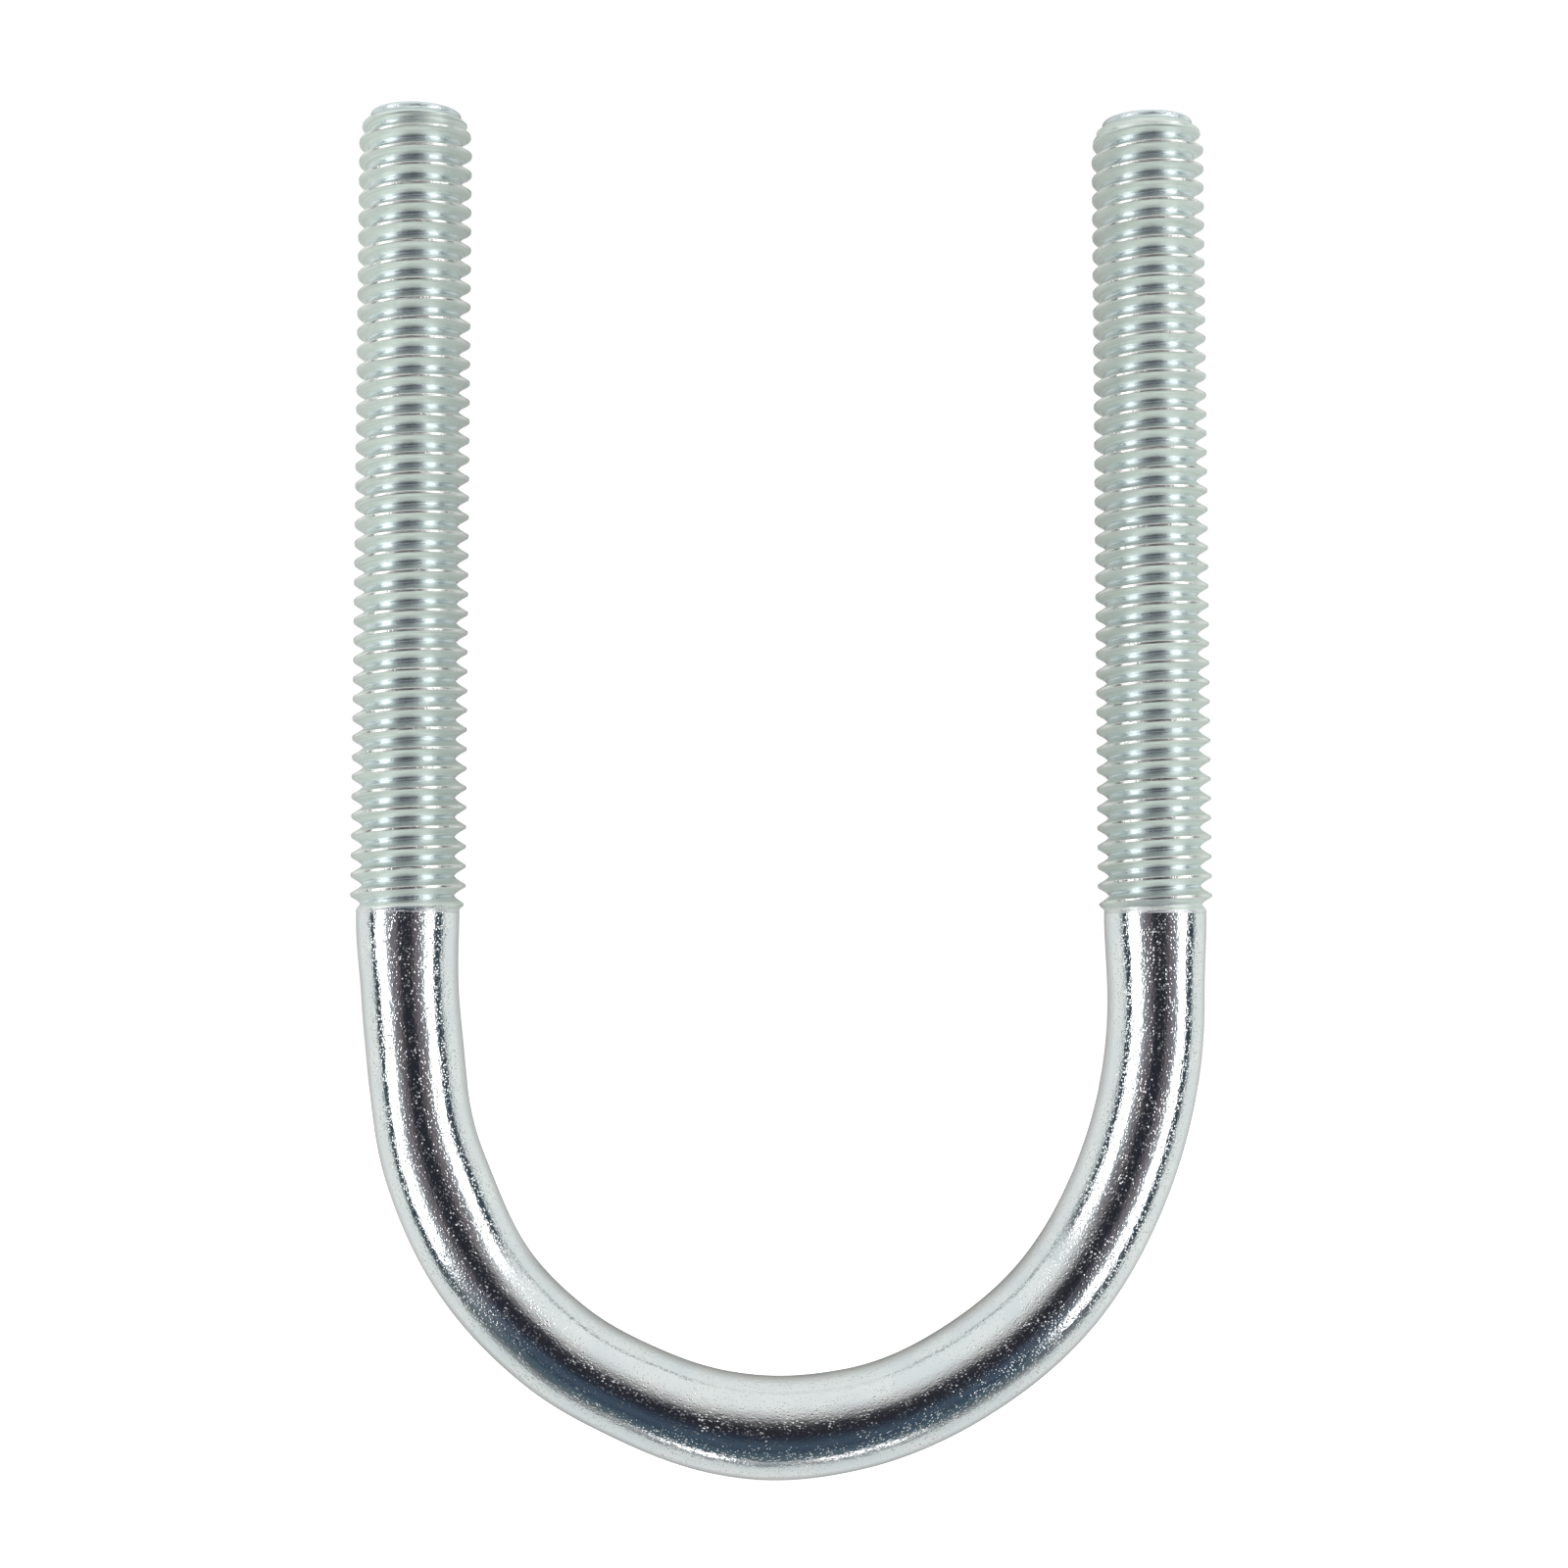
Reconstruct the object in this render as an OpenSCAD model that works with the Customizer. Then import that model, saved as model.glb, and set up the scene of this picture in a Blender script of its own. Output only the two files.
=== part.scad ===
// U-bolt: one round steel bar bent into a U, with a right-hand rolled thread on each leg.
// Sizes are in millimetres. The legs point up +Z, the U lies in the XZ plane, and the origin is
// the centre of the bend, where the axis of the held pipe passes along Y.

/* [Bar] */
// Diameter of the plain bar, which is also the pitch diameter of the rolled threads
bar_d = 8.3; // [8.2:0.05:8.5]
// Clear width between the two plain shanks
inside_w = 52.4; // [51:0.2:54]
// Radius of the bar's centreline at the bottom of the bend
bend_r = 29; // [27:0.5:29.5]
// Radius of the bar's centreline on the two flanks, where the bend eases into the legs
flank_r = 40; // [36:1:46]

/* [Threads] */
// Diameter over the thread crests
thread_d = 9.3; // [9.25:0.05:9.4]
// Threads to the inch
threads_per_inch = 16; // [16:1:18]
// Height at which the threads end above the middle of the bend
thread_bottom_z = 12; // [12:1:30]
// Height of the leg ends above the middle of the bend
leg_top_z = 78; // [50:1:110]
// Direction in which the left thread's groove starts, seen from above
left_start_angle = 140; // [0:5:355]
// Direction in which the right thread's groove starts, seen from above
right_start_angle = 295; // [0:5:355]

/* [Leg ends] */
// Diameter of the flat face on each leg's end
end_face_d = 7; // [6.5:0.1:7.6]
// Length of the tapered lead behind each end face
lead_l = 2; // [1:0.1:3]
// Length over which the crests run out into the plain bar
run_out_l = 1; // [0.5:0.1:2]

/* [Hidden] */

inch = 25.4;
pitch = inch / threads_per_inch;
leg_x = (inside_w + bar_d) / 2;

// The flank arcs are centred past the middle of the U, and meet the bottom arc on one tangent.
flank_offset = flank_r - leg_x;
flank_angle = acos(flank_offset / (flank_r - bend_r));
bend_top_z = flank_offset * tan(flank_angle);

// Rolling pushes the crests out as far as it sinks the roots, with 60 degree flanks between them.
flank_slope = tan(30);
crest_r = thread_d / 2;
root_r = bar_d - crest_r;
root_half_w = pitch / 4 - (bar_d / 2 - root_r) * flank_slope;

// The groove that is cut out of the blank stands a little proud of the crests.
steps_per_turn = 20;
groove_top_r = crest_r / cos(180 / steps_per_turn) + 0.04;
groove_top_half_w = root_half_w + (groove_top_r - root_r) * flank_slope;
fade_steps = steps_per_turn / 2;
groove_steps = ceil((leg_top_z - thread_bottom_z + pitch) / pitch * steps_per_turn);

// One stretch of the bent bar: a torus sector about a centre in the XZ plane, angles from +X to +Z.
module bent_bar(centre_x, centre_z, radius, first_angle, sweep) {
    translate([centre_x, 0, centre_z])
        rotate([90, 0, 0])
            rotate([0, 0, first_angle])
                rotate_extrude(angle = sweep, $fn = 96)
                    translate([radius, 0])
                        circle(d = bar_d, $fn = 48);
}

// The round bottom of the U, which the held pipe rests in.
module bend() {
    color([0.72, 0.75, 0.76])
        bent_bar(0, 0, bend_r, 180 + flank_angle, 180 - 2 * flank_angle);
}

// The plain bar of the left leg: the flank that eases out of the bend, and the straight part above.
module shank() {
    union() {
        bent_bar(flank_offset, bend_top_z, flank_r, 180, flank_angle);
        translate([-leg_x, 0, bend_top_z])
            cylinder(d = bar_d, h = thread_bottom_z - bend_top_z, $fn = 48);
    }
}

module left_shank() {
    color([0.74, 0.77, 0.78])
        shank();
}

module right_shank() {
    color([0.74, 0.77, 0.78])
        mirror([1, 0, 0])
            shank();
}

// Turned shape of a leg before its groove: plain end, run-out, crests, tapered lead, end face.
module leg_blank() {
    height = leg_top_z - thread_bottom_z;
    rotate_extrude($fn = 96)
        polygon([
            [0, 0],
            [bar_d / 2, 0],
            [crest_r, run_out_l],
            [crest_r, height - lead_l],
            [end_face_d / 2, height],
            [0, height]
        ]);
}

// Four corners of the groove's section at one step. It rises out of the bar over its first steps.
function groove_section(step) =
    let (
        turn = step * 360 / steps_per_turn,
        z = step * pitch / steps_per_turn,
        fade = max(0, 1 - step / fade_steps),
        lift = fade * (bar_d / 2 + 0.05 - root_r),
        corners = [
            [root_r, -root_half_w],
            [groove_top_r, -groove_top_half_w],
            [groove_top_r, groove_top_half_w],
            [root_r, root_half_w]
        ]
    )
    [for (c = corners) [(c[0] + lift) * cos(turn), (c[0] + lift) * sin(turn), z + c[1]]];

module thread_groove() {
    corners = 4;
    points = [for (step = [0:groove_steps]) each groove_section(step)];
    sides = [
        for (step = [0:groove_steps - 1], i = [0:corners - 1])
            let (
                j = (i + 1) % corners,
                here = step * corners,
                next = here + corners
            )
            each [[here + i, next + j, next + i], [here + i, here + j, next + j]]
    ];
    last = groove_steps * corners;
    caps = [[3, 2, 1, 0], [last, last + 1, last + 2, last + 3]];
    polyhedron(points, concat(sides, caps));
}

module threaded_leg(side, start_angle) {
    translate([side * leg_x, 0, thread_bottom_z])
        difference() {
            leg_blank();
            translate([0, 0, run_out_l / 2])
                rotate([0, 0, start_angle])
                    thread_groove();
        }
}

module left_thread() {
    color([0.75, 0.80, 0.77])
        threaded_leg(-1, left_start_angle);
}

module right_thread() {
    color([0.75, 0.80, 0.77])
        threaded_leg(1, right_start_angle);
}

bend();
left_shank();
right_shank();
left_thread();
right_thread();
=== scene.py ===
"""Looks of the U-bolt: fine meshes of its bent bar and rolled threads, zinc plating, white studio.

Lengths are in metres, and angles in degrees unless a name says radians.
"""

import math
import random

import bpy
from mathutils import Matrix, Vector


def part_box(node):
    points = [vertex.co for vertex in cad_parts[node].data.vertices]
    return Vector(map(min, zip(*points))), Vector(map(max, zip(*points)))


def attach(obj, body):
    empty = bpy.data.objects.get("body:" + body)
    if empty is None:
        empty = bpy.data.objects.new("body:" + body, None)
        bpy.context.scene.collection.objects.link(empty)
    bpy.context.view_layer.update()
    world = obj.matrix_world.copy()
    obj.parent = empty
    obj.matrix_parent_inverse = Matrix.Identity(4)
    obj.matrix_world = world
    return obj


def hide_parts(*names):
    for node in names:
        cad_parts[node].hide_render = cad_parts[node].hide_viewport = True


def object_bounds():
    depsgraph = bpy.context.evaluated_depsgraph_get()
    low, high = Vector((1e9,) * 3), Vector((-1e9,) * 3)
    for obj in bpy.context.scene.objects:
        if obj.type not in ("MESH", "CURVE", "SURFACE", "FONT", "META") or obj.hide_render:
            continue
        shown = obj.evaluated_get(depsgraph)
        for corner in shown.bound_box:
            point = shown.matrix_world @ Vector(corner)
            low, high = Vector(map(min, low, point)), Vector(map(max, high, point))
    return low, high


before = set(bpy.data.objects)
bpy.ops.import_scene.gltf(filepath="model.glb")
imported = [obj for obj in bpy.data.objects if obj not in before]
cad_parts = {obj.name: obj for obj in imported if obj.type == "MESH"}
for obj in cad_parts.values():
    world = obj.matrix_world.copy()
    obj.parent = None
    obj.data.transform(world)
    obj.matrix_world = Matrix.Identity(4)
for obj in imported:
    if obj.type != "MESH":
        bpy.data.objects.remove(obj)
cad_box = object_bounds()

MM = 0.001
COLUMNS = 96  # points round the bar and round each thread

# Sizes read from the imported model
leg_lo, leg_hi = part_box("right_thread")
bend_lo, bend_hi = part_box("bend")
LEG_X = (leg_lo.x + leg_hi.x) / 2
THREAD_BOTTOM = leg_lo.z
TIP = leg_hi.z
CREST_R = (leg_hi.y - leg_lo.y) / 2
BAR_R = (bend_hi.y - bend_lo.y) / 2
BEND_R = -bend_lo.z - BAR_R

# Shape of the bend's flanks, as in the CAD model
FLANK_R = 40 * MM
FLANK_OFFSET = FLANK_R - LEG_X
FLANK_ANGLE = math.degrees(math.acos(FLANK_OFFSET / (FLANK_R - BEND_R)))
BEND_TOP = FLANK_OFFSET * math.tan(math.radians(FLANK_ANGLE))

# Rolled thread, 16 to the inch, with flanks at 60 degrees to each other. The grooves start in
# these directions, deepen over RUN_OUT and get shallower again over TIP_FADE.
PITCH = 25.4 * MM / 16
ROOT_R = 2 * BAR_R - CREST_R
FLANK_SLOPE = 1 / math.tan(math.radians(30))
CREST_HALF_W = PITCH / 4 - (CREST_R - BAR_R) / FLANK_SLOPE
GROOVE_START_Z = THREAD_BOTTOM + 0.5 * MM
LEFT_START = 140
RIGHT_START = 295
RUN_OUT = 1.2 * MM
TIP_FADE = 1.9 * MM
ROOT_ROUND = 0.70 * MM
ROOT_LOWER = 0.07 * MM
CREST_ROUND = 0.06 * MM
LEAD_ROUND = 0.10 * MM

# Distances from the groove's middle at which a thread has a row of points: root, flank, crest edge
HALF_PITCH_ROWS_MM = (0, 0.04, 0.08, 0.12, 0.17, 0.29, 0.41, 0.53, 0.64, 0.68, 0.71, 0.75)
CREST_ROW = len(HALF_PITCH_ROWS_MM)
ROWS_PER_PITCH = 2 * CREST_ROW

# Tip of a leg: a short upright lip, a shoulder that widens to the crests, a slightly dished face
LIP_R = 3.72 * MM
LIP_LENGTH = 0.45 * MM
SHOULDER_R = 4.32 * MM
SHOULDER_LENGTH = 0.60 * MM
LEAD_LENGTH = 2.3 * MM
EDGE_ROUND = 0.20 * MM
EDGE_STEPS = 4
FACE_RINGS = (0.92, 0.8, 0.6, 0.4, 0.2)
DISH_DEPTH = 0.12 * MM

# Painted shade: the sides of the legs that face each other are darkened in colour, standing in for
# the shade between the legs
INNER_SIDE_SHADE = 0.13

# Height of the fine lines that rolling leaves along the thread
ROLLING_MARKS = 0.030 * MM

# Small dents along the crests of each thread
NICKS = 90
NICK_DEPTH = 0.10 * MM

FLOOR_SIZE = 3.0
FLOOR_GAP = 0.05 * MM
LAMP_STRENGTH = 2.2

# The camera stands in front of the U, a little left of its middle and level with its bend
CAMERA_PLACE = (-8.43 * MM, -238.58 * MM, 3.08 * MM)
CAMERA_TURN_RIGHT = 2.041
CAMERA_LOOK_UP = 4.674
CAMERA_LENS_MM = 67.5


def smoothstep(value):
    t = min(max(value, 0.0), 1.0)
    return t * t * (3 - 2 * t)


def soft_min(a, b, width):
    """The smaller of two lengths, with the corner between them rounded over width."""
    blend = max(width - abs(a - b), 0.0) / width
    return min(a, b) - blend * blend * width / 4


def soft_max(a, b, width):
    return -soft_min(-a, -b, width)


def new_object(name, points, faces, flat_faces=()):
    """A mesh object with smooth shading, apart from the faces whose numbers are in flat_faces."""
    mesh = bpy.data.meshes.new(name)
    mesh.from_pydata(points, [], faces)
    mesh.polygons.foreach_set("use_smooth", [True] * len(faces))
    for number in flat_faces:
        mesh.polygons[number].use_smooth = False
        for corner in mesh.polygons[number].loop_indices:
            mesh.edges[mesh.loops[corner].edge_index].use_edge_sharp = True
    mesh.update()
    piece = bpy.data.objects.new(name, mesh)
    bpy.context.scene.collection.objects.link(piece)
    return piece


def store_vectors(piece, name, vectors):
    """Keeps one vector for each point, for the material to read."""
    layer = piece.data.attributes.new(name, "FLOAT_VECTOR", "POINT")
    layer.data.foreach_set("vector", [value for vector in vectors for value in vector])


# ---------------------------------------------------------------- the bent bar

BAR_STEP = 0.5 * MM

# Places where the bending left the bar uneven: direction from the bend's centre (0 is the right
# leg, 90 the bottom, 180 the left leg), reach to each side, and how far the bar stands outwards
UNEVEN_PLACES = (
    (40, 52, -0.17 * MM),
    (58, 20, -0.17 * MM),
    (93, 14, 0.10 * MM),
    (115, 14, -0.20 * MM),
    (145, 18, 0.17 * MM),
    (182, 18, -0.46 * MM),
)

# Bending flattened the bar towards the bend's centre, but for two places that stayed rounder
FLATTENED = 0.055
ROUNDER_PLACES = ((93, 26, 0.045), (158, 18, 0.045))


def direction_from_centre(x, z):
    """Direction of a point of the bar from the bend's centre, as UNEVEN_PLACES counts it."""
    direction = math.degrees(math.atan2(-z, x))
    return direction + 360 if direction < -90 else direction


def add_up_places(places, direction):
    return sum(amount * smoothstep(1 - abs(direction - middle) / reach)
               for middle, reach, amount in places)


def flattening(x, z):
    """Share by which the bar's section is thinner towards the bend's centre."""
    above = max(z - BEND_TOP, 0.0) / (THREAD_BOTTOM - BEND_TOP)
    flat = FLATTENED - add_up_places(ROUNDER_PLACES, direction_from_centre(x, z))
    return flat * smoothstep(1 - above)


def bar_route():
    """Centreline of the plain bar in the XZ plane: (x, z, direction of the outside of the U)."""
    straight = THREAD_BOTTOM - BEND_TOP
    flank = FLANK_R * math.radians(FLANK_ANGLE)
    bottom = BEND_R * math.radians(180 - 2 * FLANK_ANGLE)
    stretches = [
        (straight, lambda t: (-LEG_X, THREAD_BOTTOM - t * straight, 180)),
        (flank, lambda t: on_arc(FLANK_OFFSET, BEND_TOP, FLANK_R, 180 + t * FLANK_ANGLE)),
        (bottom, lambda t: on_arc(0, 0, BEND_R, 180 + FLANK_ANGLE + t * (180 - 2 * FLANK_ANGLE))),
        (flank, lambda t: on_arc(-FLANK_OFFSET, BEND_TOP, FLANK_R, 360 - (1 - t) * FLANK_ANGLE)),
        (straight, lambda t: (LEG_X, BEND_TOP + t * straight, 360)),
    ]
    route = [stretches[0][1](0.0)]
    for length, place in stretches:
        steps = round(length / BAR_STEP)
        route += [place(step / steps) for step in range(1, steps + 1)]
    return route


def on_arc(centre_x, centre_z, radius, angle):
    """Place on an arc, as bar_route gives it."""
    turn = math.radians(angle)
    return centre_x + radius * math.cos(turn), centre_z + radius * math.sin(turn), angle


def make_plain_bar():
    """The bar below the threads, as one closed tube along its route."""
    route = bar_route()
    points = []
    grain = []
    length = 0.0
    for step, (x, z, angle) in enumerate(route):
        if step:
            length += math.hypot(x - route[step - 1][0], z - route[step - 1][1])
        turn = math.radians(angle)
        flat = flattening(x, z)
        stand_out = add_up_places(UNEVEN_PLACES, direction_from_centre(x, z))
        for column in range(COLUMNS):
            around = 2 * math.pi * column / COLUMNS
            out = BAR_R * math.cos(around) * (1 - flat) + stand_out
            side = BAR_R * math.sin(around) * (1 + flat / 2)
            points.append((x + out * math.cos(turn), side, z + out * math.sin(turn)))
            grain.append((length, out, side))
    faces = []
    for step in range(len(route) - 1):
        for column in range(COLUMNS):
            here = step * COLUMNS + column
            beside = step * COLUMNS + (column + 1) % COLUMNS
            faces.append((here, beside, beside + COLUMNS, here + COLUMNS))
    last = len(points) - COLUMNS
    caps = [len(faces), len(faces) + 1]
    faces.append(tuple(range(COLUMNS - 1, -1, -1)))
    faces.append(tuple(range(last, last + COLUMNS)))
    bar = new_object("plain_bar", points, faces, caps)
    store_vectors(bar, "grain", grain)
    return bar


# ---------------------------------------------------------------- the threads

def row_turns(row):
    """Place of a numbered row, in pitches above the middle of the groove's start."""
    whole, part = divmod(row, ROWS_PER_PITCH)
    if part < CREST_ROW:
        return whole + HALF_PITCH_ROWS_MM[part] * MM / PITCH
    if part == CREST_ROW:
        return whole + 0.5
    return whole + 1 - HALF_PITCH_ROWS_MM[ROWS_PER_PITCH - part] * MM / PITCH


def thread_radius(turns, z):
    """Radius of the threaded leg at a number of pitches above the groove's start, and a height."""
    from_crest = abs(turns - math.floor(turns) - 0.5) * PITCH
    flank = CREST_R - (from_crest - CREST_HALF_W) * FLANK_SLOPE
    radius = soft_max(soft_min(flank, CREST_R, CREST_ROUND), ROOT_R - ROOT_LOWER, ROOT_ROUND)
    formed = smoothstep((z - THREAD_BOTTOM) / RUN_OUT)
    radius = BAR_R + (radius - BAR_R) * formed
    radius = CREST_R + (radius - CREST_R) * smoothstep((TIP - z) / TIP_FADE)
    return soft_min(radius, lead_radius(z), LEAD_ROUND)


def lead_radius(z):
    """Radius of the lead: the lip's at the tip, the shoulder's below it, and then the crests'."""
    below_lip = TIP - z - LIP_LENGTH
    shoulder = (SHOULDER_R - LIP_R) * smoothstep(below_lip / SHOULDER_LENGTH)
    return LIP_R + shoulder + (CREST_R - SHOULDER_R) * smoothstep(below_lip / LEAD_LENGTH)


def edge_rings():
    """The rounded edge between lead and end face, as (height, radius) from the lead upwards."""
    rings = []
    for step in range(EDGE_STEPS + 1):
        turn = math.radians(90 * step / EDGE_STEPS)
        z = TIP - EDGE_ROUND * (1 - math.sin(turn))
        rings.append((z, lead_radius(z) - EDGE_ROUND * (1 - math.cos(turn))))
    return rings


def column_rows(column, rings, nicks):
    """(row number, height, radius) of one column's points from bottom to top."""
    shift = column / COLUMNS
    first = math.floor((THREAD_BOTTOM - GROOVE_START_Z) / PITCH - 1) * ROWS_PER_PITCH
    last = math.ceil((TIP - GROOVE_START_Z) / PITCH) * ROWS_PER_PITCH
    gap = 0.01 * MM
    rows = [(first - 1, THREAD_BOTTOM, BAR_R)]
    for row in range(first, last):
        turns = row_turns(row)
        z = GROOVE_START_Z + PITCH * (turns + shift)
        if THREAD_BOTTOM + gap < z < rings[0][0] - gap:
            radius = thread_radius(turns, z)
            if abs(row % ROWS_PER_PITCH - CREST_ROW) <= 1:
                radius -= nicks.get((row // ROWS_PER_PITCH, column), 0.0)
            rows.append((row, z, radius))
    for step, (z, radius) in enumerate(rings):
        rows.append((last + step, z, radius))
    return rows


def crest_closeness(row):
    """1 on the crest line and 0 in the middle of the groove."""
    return 1 - abs(row_turns(row) % 1 - 0.5) * 2


def make_nicks(seed):
    """Depths of the dents, for random crests (counted from the bottom) and columns."""
    draw = random.Random(seed)
    crests = int((TIP - GROOVE_START_Z) / PITCH)
    return {
        (draw.randrange(crests), draw.randrange(COLUMNS)): NICK_DEPTH * draw.uniform(0.3, 1.0)
        for _ in range(NICKS)
    }


def make_thread(name, leg_x, start_angle, seed):
    """One threaded leg: columns of points up the leg, zipped together, with a cap at each end."""
    rings = edge_rings()
    nicks = make_nicks(seed)
    points = []
    helix = []
    columns = []
    for column in range(COLUMNS):
        around = math.radians(start_angle + 360 * column / COLUMNS)
        rows = column_rows(column, rings, nicks)
        columns.append([(row[0], len(points) + number) for number, row in enumerate(rows)])
        for row, z, radius in rows:
            points.append((leg_x + radius * math.cos(around), radius * math.sin(around), z))
            height = (radius - ROOT_R) / (CREST_R - ROOT_R)
            helix.append((crest_closeness(row), height, 0.0))
    faces = []
    for column in range(COLUMNS):
        left = columns[column]
        right = columns[(column + 1) % COLUMNS]
        if column == COLUMNS - 1:
            right = rows_one_turn_on(right, rings)
        faces += zip_columns(left, right)
    bottom_cap = len(faces)
    faces.append(tuple(column[0][1] for column in reversed(columns)))
    add_end_face(points, helix, faces, columns, leg_x)
    leg = new_object(name, points, faces, [bottom_cap])
    store_vectors(leg, "helix", helix)
    return leg


def rows_one_turn_on(column, rings):
    """The first column seen as the one after the last: its helical rows are one pitch lower down."""
    helical = column[1:-len(rings)]
    lowered = [(row - ROWS_PER_PITCH, point) for row, point in helical]
    return [column[0]] + lowered + column[-len(rings):]


def zip_columns(left, right):
    """Faces between two columns, whose rows are matched by their numbers."""
    faces = []
    i = 0
    j = 0
    while i < len(left) - 1 or j < len(right) - 1:
        left_next = left[i + 1][0] if i < len(left) - 1 else math.inf
        right_next = right[j + 1][0] if j < len(right) - 1 else math.inf
        if left_next == right_next:
            faces.append((left[i][1], right[j][1], right[j + 1][1], left[i + 1][1]))
            i += 1
            j += 1
        elif left_next < right_next:
            faces.append((left[i][1], right[j][1], left[i + 1][1]))
            i += 1
        else:
            faces.append((left[i][1], right[j][1], right[j + 1][1]))
            j += 1
    return faces


def add_end_face(points, helix, faces, columns, leg_x):
    """Closes the tip with rings that sink towards the middle."""
    rim = [column[-1][1] for column in columns]
    outer = rim
    centre = Vector((leg_x, 0, TIP))
    for share in FACE_RINGS:
        inner = []
        for number in rim:
            spoke = Vector(points[number]) - centre
            sunk = DISH_DEPTH * smoothstep((1 - share) / 0.6)
            inner.append(len(points))
            points.append(tuple(centre + spoke * share - Vector((0, 0, sunk))))
            helix.append((0.5, 0.8, 1.0))
        for column in range(COLUMNS):
            beside = (column + 1) % COLUMNS
            faces.append((outer[column], outer[beside], inner[beside], inner[column]))
        outer = inner
    faces.append(tuple(outer))


# ---------------------------------------------------------------- shader helpers

def link_or_set(tree, socket, value):
    if isinstance(value, bpy.types.NodeSocket):
        tree.links.new(value, socket)
    else:
        socket.default_value = value


def calculate(tree, operation, first, second=0.0):
    node = tree.nodes.new("ShaderNodeMath")
    node.operation = operation
    link_or_set(tree, node.inputs[0], first)
    link_or_set(tree, node.inputs[1], second)
    return node.outputs[0]


def rise(tree, value, start, end):
    """0 below start and 1 above end, with a smooth step between."""
    node = tree.nodes.new("ShaderNodeMapRange")
    node.interpolation_type = "SMOOTHSTEP"
    link_or_set(tree, node.inputs["Value"], value)
    node.inputs["From Min"].default_value = start
    node.inputs["From Max"].default_value = end
    return node.outputs["Result"]


def between(tree, value, start, full, late, end):
    """1 between full and late, with a smooth step up from start and down to end."""
    return calculate(tree, "MULTIPLY", rise(tree, value, start, full), rise(tree, value, end, late))


def span(tree, value, low, high, start=0.0, end=1.0):
    """Carries value from the range start..end to the range low..high."""
    node = tree.nodes.new("ShaderNodeMapRange")
    link_or_set(tree, node.inputs["Value"], value)
    node.inputs["From Min"].default_value = start
    node.inputs["From Max"].default_value = end
    node.inputs["To Min"].default_value = low
    node.inputs["To Max"].default_value = high
    return node.outputs["Result"]


def ramp(tree, value, stops):
    """A colour for each value: stops are (position, colour)."""
    node = tree.nodes.new("ShaderNodeValToRGB")
    elements = node.color_ramp.elements
    while len(elements) > 1:
        elements.remove(elements[-1])
    elements[0].position = stops[0][0]
    elements[0].color = (*stops[0][1], 1)
    for position, colour in stops[1:]:
        elements.new(position).color = (*colour, 1)
    link_or_set(tree, node.inputs["Fac"], value)
    return node.outputs["Color"]


def mix(tree, share, first, second):
    node = tree.nodes.new("ShaderNodeMix")
    node.data_type = "RGBA"
    link_or_set(tree, node.inputs["Factor"], share)
    link_or_set(tree, node.inputs["A"], first)
    link_or_set(tree, node.inputs["B"], second)
    return node.outputs["Result"]


def stretched(tree, vector, scale):
    node = tree.nodes.new("ShaderNodeVectorMath")
    node.operation = "MULTIPLY"
    link_or_set(tree, node.inputs[0], vector)
    node.inputs[1].default_value = scale
    return node.outputs["Vector"]


def noise(tree, vector, scale, detail=3.0, roughness=0.5):
    node = tree.nodes.new("ShaderNodeTexNoise")
    link_or_set(tree, node.inputs["Vector"], vector)
    node.inputs["Scale"].default_value = scale
    node.inputs["Detail"].default_value = detail
    node.inputs["Roughness"].default_value = roughness
    return node.outputs["Fac"]


def bump(tree, height, distance, normal=None):
    """Relief of some height on a surface, or on top of the relief that it already has."""
    node = tree.nodes.new("ShaderNodeBump")
    node.inputs["Distance"].default_value = distance
    link_or_set(tree, node.inputs["Height"], height)
    if normal is not None:
        tree.links.new(normal, node.inputs["Normal"])
    return node.outputs["Normal"]


def combine(tree, x, y, z):
    node = tree.nodes.new("ShaderNodeCombineXYZ")
    for socket, value in zip(node.inputs, (x, y, z)):
        link_or_set(tree, socket, value)
    return node.outputs[0]


def read_attribute(tree, name):
    node = tree.nodes.new("ShaderNodeAttribute")
    node.attribute_name = name
    return node.outputs["Vector"]


def split(tree, vector):
    node = tree.nodes.new("ShaderNodeSeparateXYZ")
    tree.links.new(vector, node.inputs[0])
    return node.outputs


def new_metal(name):
    material = bpy.data.materials.new(name)
    material.use_nodes = True
    tree = material.node_tree
    shader = tree.nodes["Principled BSDF"]
    shader.inputs["Metallic"].default_value = 1.0
    return material, tree, shader


# ---------------------------------------------------------------- materials

PER_MM = 1000.0


def speckle(tree, vector, scale, share, spread):
    """Small domes in a share of random cells, of random heights up to 1."""
    node = tree.nodes.new("ShaderNodeTexVoronoi")
    link_or_set(tree, node.inputs["Vector"], vector)
    node.inputs["Scale"].default_value = scale
    pick, size, _ = split(tree, node.outputs["Color"])
    chosen = calculate(tree, "LESS_THAN", pick, share)
    dome = rise(tree, node.outputs["Distance"], spread, 0.0)
    return calculate(tree, "MULTIPLY", calculate(tree, "MULTIPLY", dome, chosen),
                     span(tree, size, 0.35, 1.0))


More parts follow.
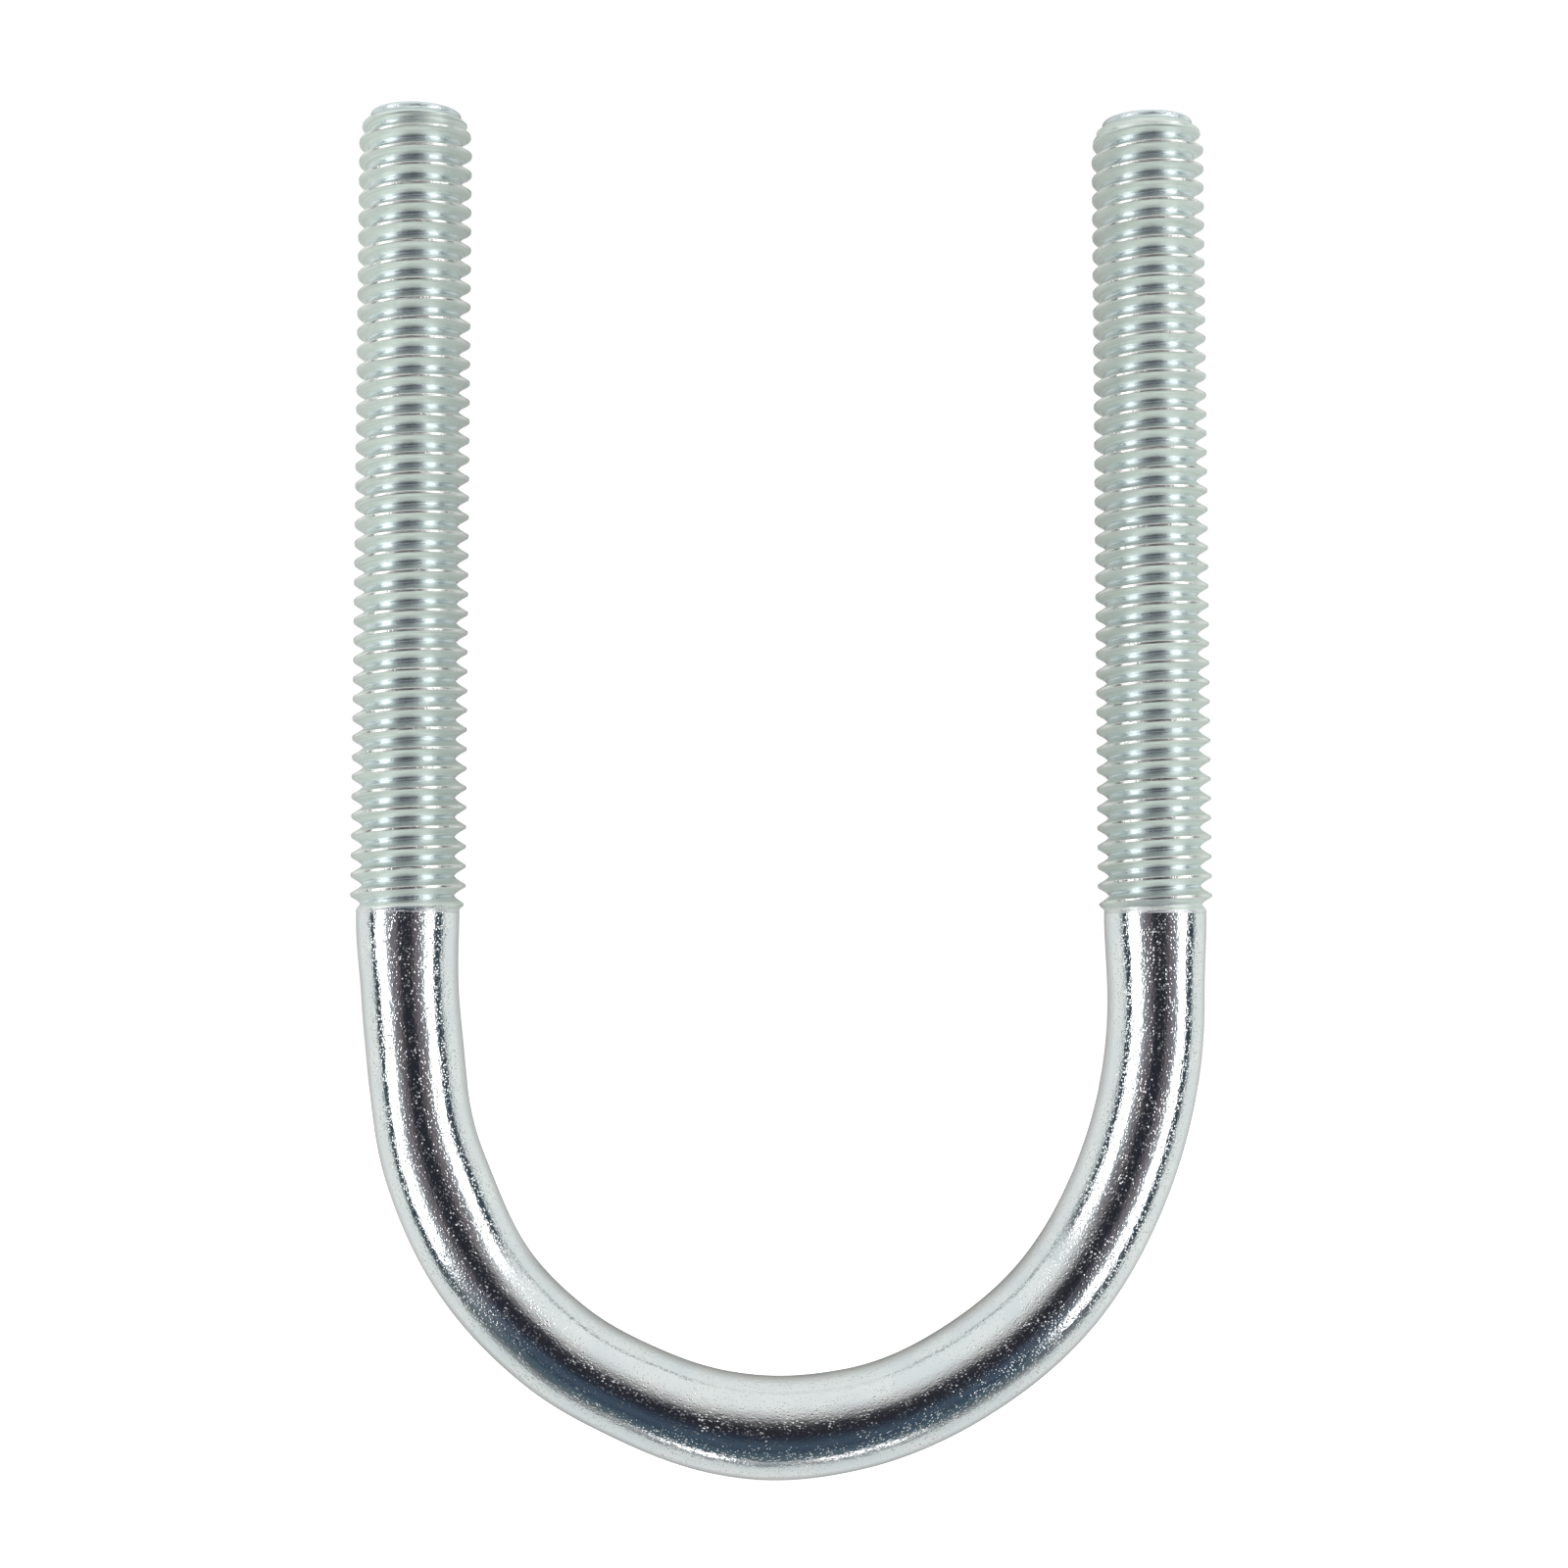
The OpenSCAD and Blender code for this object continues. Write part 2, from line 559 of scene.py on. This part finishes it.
def zinc_bar_material():
    """Bright zinc over drawn bar: fine grain, small beads and pits, drawn out along the bar."""
    material, tree, shader = new_metal("zinc_bar")
    grain = read_attribute(tree, "grain")
    drawn = stretched(tree, grain, (0.5 * PER_MM, PER_MM, PER_MM))
    beaded = stretched(tree, grain, (0.75 * PER_MM, PER_MM, PER_MM))
    fibres = noise(tree, drawn, 5.0, 2.0, 0.5)
    waves = noise(tree, drawn, 0.8, 2.0)
    patches = noise(tree, beaded, 0.45, 2.0)
    strength = span(tree, patches, 0.40, 1.35, 0.35, 0.65)
    beads = calculate(tree, "MULTIPLY", speckle(tree, beaded, 6.4, 0.60, 0.5), strength)
    pits = calculate(tree, "MULTIPLY", speckle(tree, beaded, 4.0, 0.45, 0.40), strength)

    colour = mix(tree, rise(tree, patches, 0.35, 0.65), (0.82, 0.85, 0.87, 1), (0.88, 0.90, 0.90, 1))
    tree.links.new(colour, shader.inputs["Base Color"])
    rough = calculate(tree, "ADD", span(tree, fibres, 0.05, 0.11, 0.3, 0.7),
                      calculate(tree, "MULTIPLY", pits, 0.25))
    tree.links.new(rough, shader.inputs["Roughness"])

    surface = bump(tree, fibres, 0.013 * MM)
    surface = bump(tree, waves, 0.030 * MM, surface)
    surface = bump(tree, beads, 0.025 * MM, surface)
    surface = bump(tree, calculate(tree, "SUBTRACT", 1.0, pits), 0.029 * MM, surface)
    tree.links.new(surface, shader.inputs["Normal"])
    return material


def zinc_thread_material():
    """Pale green zinc on the flanks, brighter rolled roots, worn crests, painted shade on the inner
    sides.
    """
    material, tree, shader = new_metal("zinc_thread")
    closeness, height, end_face = split(tree, read_attribute(tree, "helix"))
    place = stretched(tree, tree.nodes.new("ShaderNodeTexCoord").outputs["Object"], (PER_MM,) * 3)
    aside, _, level = split(tree, place)
    fine = noise(tree, place, 5.0, 3.0, 0.6)
    rolled = combine(tree, closeness, calculate(tree, "MULTIPLY", level, 0.05), 0.0)
    marks = noise(tree, rolled, 11.0, 2.0, 0.6)
    crest = rise(tree, closeness, 0.85, 0.92)
    root = rise(tree, height, 0.30, 0.12)
    lip = rise(tree, level, (TIP - 1.1 * LIP_LENGTH) / MM, (TIP - 0.9 * LIP_LENGTH) / MM)
    plain = rise(tree, level, (THREAD_BOTTOM + 0.45 * MM) / MM, (THREAD_BOTTOM + 0.15 * MM) / MM)
    bright = calculate(tree, "MAXIMUM", calculate(tree, "MAXIMUM", crest, root),
                       calculate(tree, "MAXIMUM", lip, plain))

    colour = ramp(tree, height, [
        (0.0, (0.88, 0.95, 0.98)),
        (0.14, (0.86, 0.93, 0.94)),
        (0.34, (0.91, 0.97, 0.93)),
        (0.88, (0.91, 0.97, 0.92)),
        (0.97, (0.90, 0.91, 0.88)),
    ])
    colour = mix(tree, span(tree, marks, 0.20, 0.0, 0.38, 0.55), colour, (0.30, 0.36, 0.33, 1))
    colour = mix(tree, plain, colour, (0.86, 0.88, 0.89, 1))
    # Painted shade: the colour darkens towards black on the sides of the legs that face each other
    inwards = calculate(tree, "SUBTRACT", LEG_X / MM, calculate(tree, "ABSOLUTE", aside))
    inner_side_shade_mask = rise(tree, inwards, 0.20 * CREST_R / MM, 0.85 * CREST_R / MM)
    colour = mix(tree, span(tree, inner_side_shade_mask, 0.0, INNER_SIDE_SHADE), colour, (0, 0, 0, 1))
    tree.links.new(colour, shader.inputs["Base Color"])
    tree.links.new(span(tree, bright, 0.92, 1.0), shader.inputs["Metallic"])
    shader.inputs["Anisotropic"].default_value = 0.9
    around_leg = tree.nodes.new("ShaderNodeTangent")
    around_leg.direction_type = "RADIAL"
    around_leg.axis = "Z"
    tree.links.new(around_leg.outputs["Tangent"], shader.inputs["Tangent"])
    polish = calculate(tree, "ADD", span(tree, bright, 0.33, 0.20), span(tree, crest, 0.0, -0.06))
    rough = calculate(tree, "ADD", polish, span(tree, fine, -0.05, 0.05, 0.3, 0.7))
    tree.links.new(rough, shader.inputs["Roughness"])

    specks = calculate(tree, "MULTIPLY", speckle(tree, place, 4.5, 0.6, 0.5),
                       calculate(tree, "MAXIMUM", crest, lip))
    surface = bump(tree, fine, 0.012 * MM)
    surface = bump(tree, marks, ROLLING_MARKS, surface)
    surface = bump(tree, calculate(tree, "SUBTRACT", 1.0, specks), 0.030 * MM, surface)
    shear_marks = noise(tree, stretched(tree, place, (0.15, 1.0, 1.0)), 4.0, 3.0, 0.6)
    surface = bump(tree, calculate(tree, "MULTIPLY", shear_marks, end_face), 0.05 * MM, surface)
    tree.links.new(surface, shader.inputs["Normal"])
    return material


def floor_material():
    """Pale floor that glows softly, like a light table."""
    material = bpy.data.materials.new("pale_floor")
    material.use_nodes = True
    shader = material.node_tree.nodes["Principled BSDF"]
    shader.inputs["Base Color"].default_value = (0.85, 0.86, 0.87, 1)
    shader.inputs["Roughness"].default_value = 0.9
    shader.inputs["Specular IOR Level"].default_value = 0.0
    shader.inputs["Emission Color"].default_value = (1, 1, 1, 1)
    shader.inputs["Emission Strength"].default_value = 0.8
    return material


# ---------------------------------------------------------------- pieces

def place_piece(piece, material, slot, *nodes):
    piece.data.materials.append(material)
    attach(piece, "root")
    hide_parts(*nodes)


place_piece(make_plain_bar(), zinc_bar_material(), "zinc_bar", "bend", "left_shank", "right_shank")
thread_material = zinc_thread_material()
place_piece(make_thread("left_rolled_thread", -LEG_X, LEFT_START, seed=3), thread_material,
            "zinc_thread", "left_thread")
place_piece(make_thread("right_rolled_thread", LEG_X, RIGHT_START, seed=4), thread_material,
            "zinc_thread", "right_thread")


# ---------------------------------------------------------------- studio

def make_floor():
    half = FLOOR_SIZE / 2
    level = cad_box[0].z - FLOOR_GAP
    corners = [(-half, -half, level), (half, -half, level), (half, half, level), (-half, half, level)]
    floor = new_object("floor", corners, [(0, 1, 2, 3)])
    floor.data.materials.append(floor_material())
    floor.visible_glossy = False


def make_world():
    """Soft white room with a dark opening round the camera, bright strips beside it and under it."""
    world = bpy.data.worlds.new("studio")
    bpy.context.scene.world = world
    world.use_nodes = True
    tree = world.node_tree
    tree.nodes.clear()
    direction = tree.nodes.new("ShaderNodeTexCoord").outputs["Generated"]
    x, y, z = split(tree, direction)
    off_axis = calculate(tree, "ARCCOSINE", calculate(tree, "MULTIPLY", y, -1.0))
    degrees = calculate(tree, "MULTIPLY", off_axis, 180 / math.pi)
    radius = calculate(tree, "SQRT", calculate(tree, "ADD", calculate(tree, "MULTIPLY", x, x),
                                               calculate(tree, "MULTIPLY", z, z)))
    upward = calculate(tree, "DIVIDE", z, radius)
    downward = calculate(tree, "MULTIPLY", upward, -1.0)
    aside = calculate(tree, "DIVIDE", x, radius)
    share = calculate(tree, "DIVIDE", degrees, 180.0)

    def at(angle, *colour):
        return angle / 180, colour

    sides = ramp(tree, share, [
        at(0, 0.02, 0.02, 0.025), at(9, 0.022, 0.024, 0.035), at(14, 0.040, 0.041, 0.052),
        at(20, 0.115, 0.10, 0.112), at(27, 0.18, 0.155, 0.165), at(34, 0.20, 0.20, 0.22),
        at(42, 0.42, 0.43, 0.45), at(62, 0.36, 0.38, 0.40), at(74, 0.04, 0.06, 0.08),
        at(84, 0.04, 0.06, 0.075), at(89, 0.22, 0.26, 0.26), at(92, 0.74, 0.78, 0.76),
        at(100, 0.80, 0.84, 0.82), at(125, 0.80, 0.84, 0.82), at(145, 0.60, 0.62, 0.60),
        at(162, 0.50, 0.50, 0.49), at(180, 0.36, 0.36, 0.36),
    ])
    up = ramp(tree, share, [
        at(0, 0.03, 0.03, 0.035), at(10, 0.04, 0.04, 0.05), at(17, 0.12, 0.115, 0.12),
        at(25, 0.36, 0.355, 0.35), at(34, 0.56, 0.56, 0.55), at(50, 0.80, 0.83, 0.82),
        at(86, 0.84, 0.87, 0.86), at(90, 0.62, 0.66, 0.64), at(94, 0.80, 0.84, 0.83),
        at(120, 0.76, 0.79, 0.78), at(142, 0.50, 0.51, 0.49), at(162, 0.34, 0.34, 0.32),
        at(180, 0.22, 0.22, 0.22),
    ])
    down = ramp(tree, share, [
        at(0, 0.03, 0.03, 0.035), at(12, 0.025, 0.025, 0.035), at(20, 0.03, 0.04, 0.06),
        at(29, 0.05, 0.07, 0.10), at(38, 0.06, 0.09, 0.13), at(48, 0.04, 0.06, 0.09),
        at(60, 0.08, 0.12, 0.15), at(71, 0.10, 0.13, 0.15), at(80, 0.26, 0.27, 0.27),
        at(87, 0.30, 0.32, 0.33), at(93, 0.66, 0.70, 0.69), at(125, 0.76, 0.79, 0.78),
        at(142, 0.52, 0.53, 0.52), at(162, 0.34, 0.34, 0.32), at(180, 0.22, 0.22, 0.22),
    ])
    colour = mix(tree, rise(tree, upward, 0.42, 0.62), sides, up)
    colour = mix(tree, rise(tree, downward, 0.45, 0.80), colour, down)

    def strip(inner, outer, side, top, bottom, softness):
        """How far a direction is on a lamp beside the camera: angles off axis, and above level."""
        across = between(tree, degrees, inner - 1.5, inner + 1.5, outer - 1.5, outer + 1.5)
        below_top = rise(tree, upward, math.sin(math.radians(top + softness)),
                         math.sin(math.radians(top - softness)))
        above_bottom = rise(tree, upward, math.sin(math.radians(bottom - softness)),
                            math.sin(math.radians(bottom + softness)))
        along = calculate(tree, "MULTIPLY", below_top, above_bottom)
        this_side = calculate(tree, "GREATER_THAN", calculate(tree, "MULTIPLY", x, side), 0.0)
        return calculate(tree, "MULTIPLY", calculate(tree, "MULTIPLY", across, along), this_side)

    left_strip = strip(47.5, 72.0, -1, 29, -30, 5)
    right_strip = strip(46.0, 67.0, 1, 34, -43, 5)
    lamps = calculate(tree, "ADD", left_strip, right_strip)
    under = calculate(tree, "MULTIPLY", between(tree, degrees, 70, 73, 78, 81),
                      rise(tree, downward, 0.88, 0.94))
    left_part = between(tree, aside, -0.34, -0.24, -0.14, -0.10)
    right_part = between(tree, aside, 0.11, 0.17, 0.32, 0.44)
    two_parts = calculate(tree, "ADD", left_part, calculate(tree, "MULTIPLY", right_part, 0.6))
    under = calculate(tree, "MULTIPLY", under, calculate(tree, "ADD", 0.12, two_parts))
    all_lamps = calculate(tree, "ADD", lamps, under)
    glow = calculate(tree, "MULTIPLY", all_lamps, LAMP_STRENGTH)
    lit = tree.nodes.new("ShaderNodeVectorMath")
    lit.operation = "SCALE"
    lit.inputs[0].default_value = (1.0, 0.99, 0.98)
    tree.links.new(glow, lit.inputs["Scale"])
    total = tree.nodes.new("ShaderNodeVectorMath")
    total.operation = "ADD"
    tree.links.new(colour, total.inputs[0])
    tree.links.new(lit.outputs[0], total.inputs[1])

    room = tree.nodes.new("ShaderNodeBackground")
    tree.links.new(total.outputs[0], room.inputs["Color"])
    room.inputs["Strength"].default_value = 1.0
    backdrop = tree.nodes.new("ShaderNodeBackground")
    backdrop.inputs["Color"].default_value = (1, 1, 1, 1)
    backdrop.inputs["Strength"].default_value = 1.05
    chooser = tree.nodes.new("ShaderNodeMixShader")
    seen = tree.nodes.new("ShaderNodeLightPath").outputs["Is Camera Ray"]
    tree.links.new(seen, chooser.inputs["Fac"])
    tree.links.new(room.outputs[0], chooser.inputs[1])
    tree.links.new(backdrop.outputs[0], chooser.inputs[2])
    output = tree.nodes.new("ShaderNodeOutputWorld")
    tree.links.new(chooser.outputs[0], output.inputs["Surface"])


def make_camera():
    camera_data = bpy.data.cameras.new("camera")
    camera_data.sensor_width = 36
    camera_data.lens = CAMERA_LENS_MM
    camera = bpy.data.objects.new("camera", camera_data)
    bpy.context.scene.collection.objects.link(camera)
    camera.location = CAMERA_PLACE
    turn_right = math.radians(CAMERA_TURN_RIGHT)
    look_up = math.radians(CAMERA_LOOK_UP)
    ahead = Vector((
        math.sin(turn_right) * math.cos(look_up),
        math.cos(turn_right) * math.cos(look_up),
        math.sin(look_up),
    ))
    camera.rotation_mode = "QUATERNION"
    camera.rotation_quaternion = ahead.to_track_quat("-Z", "Y")
    camera_data.clip_start = 10 * MM
    camera_data.clip_end = 10
    bpy.context.scene.camera = camera


make_floor()
make_world()
make_camera()
bpy.context.scene.view_settings.view_transform = "Standard"
